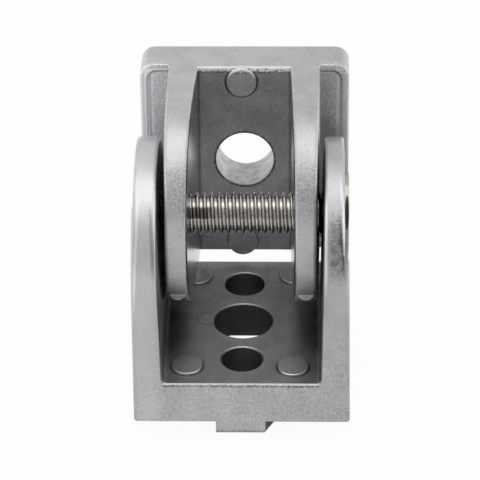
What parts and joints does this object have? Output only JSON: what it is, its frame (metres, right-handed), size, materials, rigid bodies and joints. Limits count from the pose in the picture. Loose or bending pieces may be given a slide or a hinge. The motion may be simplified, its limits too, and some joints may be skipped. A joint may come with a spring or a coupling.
{
  "type": "profile pivot joint",
  "caption": "Die-cast pivot joint for slotted profile: two eared square plates that fold about a clamping screw.",
  "frame": {"origin": "centre of the outer bracket's mounting face, midway between its two side holes", "axes": "+Z out of the profile towards the pivot, X along the pivot screw with its head at +X, +Y towards the folded inner bracket"},
  "size_m": [0.03, 0.0431, 0.0407],
  "materials": {
    "cast_aluminium": "tumbled die casting, satin",
    "nickel_steel": "nickel plated"
  },
  "bodies": {
    "base": {"outer_bracket": "cast_aluminium", "pivot_screw": "nickel_steel", "pivot_nut": "nickel_steel"},
    "arm": {"inner_bracket": "cast_aluminium"}
  },
  "joints": [
    {"name": "pivot", "type": "hinge", "parent": "base", "child": "arm", "pos_m": [0, 0, 0.02485], "axis": [1, 0, 0], "range_deg": [-3, 197]}
  ]
}
